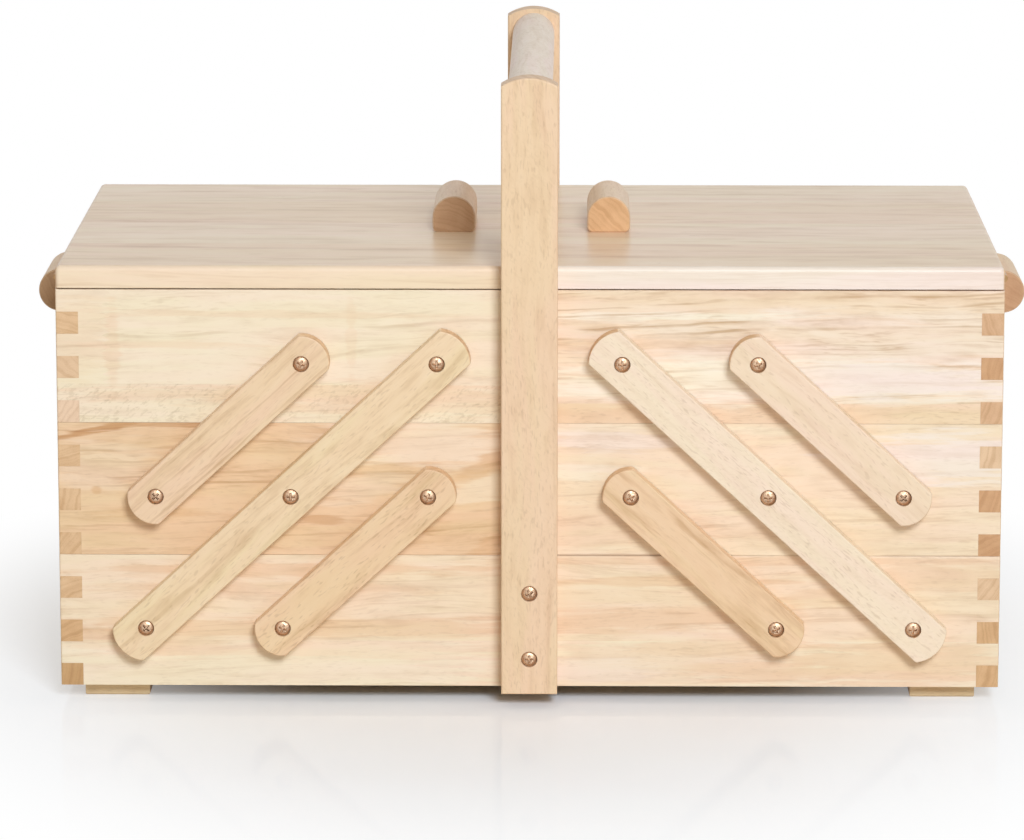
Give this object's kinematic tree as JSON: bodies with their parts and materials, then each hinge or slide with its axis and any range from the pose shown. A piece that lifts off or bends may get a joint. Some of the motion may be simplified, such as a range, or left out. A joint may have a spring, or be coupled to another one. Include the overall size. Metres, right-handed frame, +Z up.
{
  "type": "cantilever sewing carrier",
  "caption": "Wooden sewing carrier: a base box with trays that swing out to both sides on wooden arms, hinged lids and a fixed carrying handle.",
  "frame": {"origin": "on the floor under the middle of the base, level with the underside of the feet", "axes": "+X to the right-hand trays, -Y to the front, +Z up"},
  "size_m": [0.453, 0.264, 0.283],
  "materials": {
    "wall_wood": "clear satin lacquer, straight grain",
    "end_wood": "clear satin lacquer, straight grain, end grain at the corner fingers",
    "lid_wood": "clear satin lacquer, straight grain",
    "arm_wood": "clear satin lacquer, straight grain",
    "upright_wood": "clear satin lacquer, straight grain",
    "grip_wood": "clear satin lacquer on a turned bar",
    "knob_wood": "clear satin lacquer on a turned bar",
    "panel_wood": "birch plywood, bare",
    "foot_wood": "clear satin lacquer",
    "copper_screw": "antique copper plate",
    "hinge_brass": "satin"
  },
  "bodies": {
    "base": {"base_front_wall": "wall_wood", "base_back_wall": "wall_wood", "base_left_end": "end_wood", "base_right_end": "end_wood", "base_floor_panel": "panel_wood", "feet": "foot_wood", "base_screws": "copper_screw", "front_upright": "upright_wood", "back_upright": "upright_wood", "carry_grip": "grip_wood"},
    "left_long_arms": {"left_long_arm_front": "arm_wood", "left_long_arm_back": "arm_wood"},
    "left_lower_short_arms": {"left_lower_short_arm_front": "arm_wood", "left_lower_short_arm_back": "arm_wood"},
    "left_middle_tray": {"left_middle_front_wall": "wall_wood", "left_middle_back_wall": "wall_wood", "left_middle_inner_end": "end_wood", "left_middle_outer_end": "end_wood", "left_middle_floor_panel": "panel_wood", "left_middle_screws": "copper_screw"},
    "left_upper_short_arms": {"left_upper_short_arm_front": "arm_wood", "left_upper_short_arm_back": "arm_wood"},
    "left_top_tray": {"left_top_front_wall": "wall_wood", "left_top_back_wall": "wall_wood", "left_top_inner_end": "end_wood", "left_top_outer_end": "end_wood", "left_top_floor_panel": "panel_wood", "left_top_divider": "panel_wood", "left_pull_knob": "knob_wood", "left_tray_hinge_leaves": "hinge_brass", "left_top_screws": "copper_screw"},
    "left_lid": {"left_lid": "lid_wood", "left_lid_knob": "knob_wood", "left_lid_hinge_leaves": "hinge_brass", "left_lid_screws": "copper_screw"},
    "right_long_arms": {"right_long_arm_front": "arm_wood", "right_long_arm_back": "arm_wood"},
    "right_lower_short_arms": {"right_lower_short_arm_front": "arm_wood", "right_lower_short_arm_back": "arm_wood"},
    "right_middle_tray": {"right_middle_front_wall": "wall_wood", "right_middle_back_wall": "wall_wood", "right_middle_inner_end": "end_wood", "right_middle_outer_end": "end_wood", "right_middle_floor_panel": "panel_wood", "right_middle_screws": "copper_screw"},
    "right_upper_short_arms": {"right_upper_short_arm_front": "arm_wood", "right_upper_short_arm_back": "arm_wood"},
    "right_top_tray": {"right_top_front_wall": "wall_wood", "right_top_back_wall": "wall_wood", "right_top_inner_end": "end_wood", "right_top_outer_end": "end_wood", "right_top_floor_panel": "panel_wood", "right_top_divider": "panel_wood", "right_pull_knob": "knob_wood", "right_tray_hinge_leaves": "hinge_brass", "right_top_screws": "copper_screw"},
    "right_lid": {"right_lid": "lid_wood", "right_lid_knob": "knob_wood", "right_lid_hinge_leaves": "hinge_brass", "right_lid_screws": "copper_screw"}
  },
  "joints": [
    {"name": "left_long_arms_swing", "type": "hinge", "parent": "base", "child": "left_long_arms", "pos_m": [-0.171, 0, 0.035], "axis": [0, -1, 0], "range_deg": [0, 94.5]},
    {"name": "left_lower_short_arms_swing", "type": "hinge", "parent": "base", "child": "left_lower_short_arms", "pos_m": [-0.11, 0, 0.035], "axis": [0, -1, 0], "range_deg": [0, 94.5]},
    {"name": "left_middle_tray_level", "type": "hinge", "parent": "left_long_arms", "child": "left_middle_tray", "pos_m": [-0.106, 0, 0.095], "axis": [0, -1, 0], "range_deg": [-94.5, 0]},
    {"name": "left_top_tray_level", "type": "hinge", "parent": "left_long_arms", "child": "left_top_tray", "pos_m": [-0.041, 0, 0.155], "axis": [0, -1, 0], "range_deg": [-94.5, 0]},
    {"name": "left_upper_short_arms_swing", "type": "hinge", "parent": "left_middle_tray", "child": "left_upper_short_arms", "pos_m": [-0.166, 0, 0.095], "axis": [0, -1, 0], "range_deg": [0, 94.5]},
    {"name": "left_lid_open", "type": "hinge", "parent": "left_top_tray", "child": "left_lid", "pos_m": [-0.212, 0, 0.1872], "axis": [0, -1, 0], "range_deg": [0, 150]},
    {"name": "right_long_arms_swing", "type": "hinge", "parent": "base", "child": "right_long_arms", "pos_m": [0.171, 0, 0.035], "axis": [0, 1, 0], "range_deg": [0, 94.5]},
    {"name": "right_lower_short_arms_swing", "type": "hinge", "parent": "base", "child": "right_lower_short_arms", "pos_m": [0.11, 0, 0.035], "axis": [0, 1, 0], "range_deg": [0, 94.5]},
    {"name": "right_middle_tray_level", "type": "hinge", "parent": "right_long_arms", "child": "right_middle_tray", "pos_m": [0.106, 0, 0.095], "axis": [0, 1, 0], "range_deg": [-94.5, 0]},
    {"name": "right_top_tray_level", "type": "hinge", "parent": "right_long_arms", "child": "right_top_tray", "pos_m": [0.041, 0, 0.155], "axis": [0, 1, 0], "range_deg": [-94.5, 0]},
    {"name": "right_upper_short_arms_swing", "type": "hinge", "parent": "right_middle_tray", "child": "right_upper_short_arms", "pos_m": [0.166, 0, 0.095], "axis": [0, 1, 0], "range_deg": [0, 94.5]},
    {"name": "right_lid_open", "type": "hinge", "parent": "right_top_tray", "child": "right_lid", "pos_m": [0.212, 0, 0.1872], "axis": [0, 1, 0], "range_deg": [0, 150]}
  ],
  "couplings": [
    {"joint": "left_lower_short_arms_swing", "follows": "left_long_arms_swing", "ratio": 1},
    {"joint": "left_middle_tray_level", "follows": "left_long_arms_swing", "ratio": -1},
    {"joint": "left_top_tray_level", "follows": "left_long_arms_swing", "ratio": -1},
    {"joint": "left_upper_short_arms_swing", "follows": "left_long_arms_swing", "ratio": 1},
    {"joint": "right_lower_short_arms_swing", "follows": "right_long_arms_swing", "ratio": 1},
    {"joint": "right_middle_tray_level", "follows": "right_long_arms_swing", "ratio": -1},
    {"joint": "right_top_tray_level", "follows": "right_long_arms_swing", "ratio": -1},
    {"joint": "right_upper_short_arms_swing", "follows": "right_long_arms_swing", "ratio": 1}
  ]
}
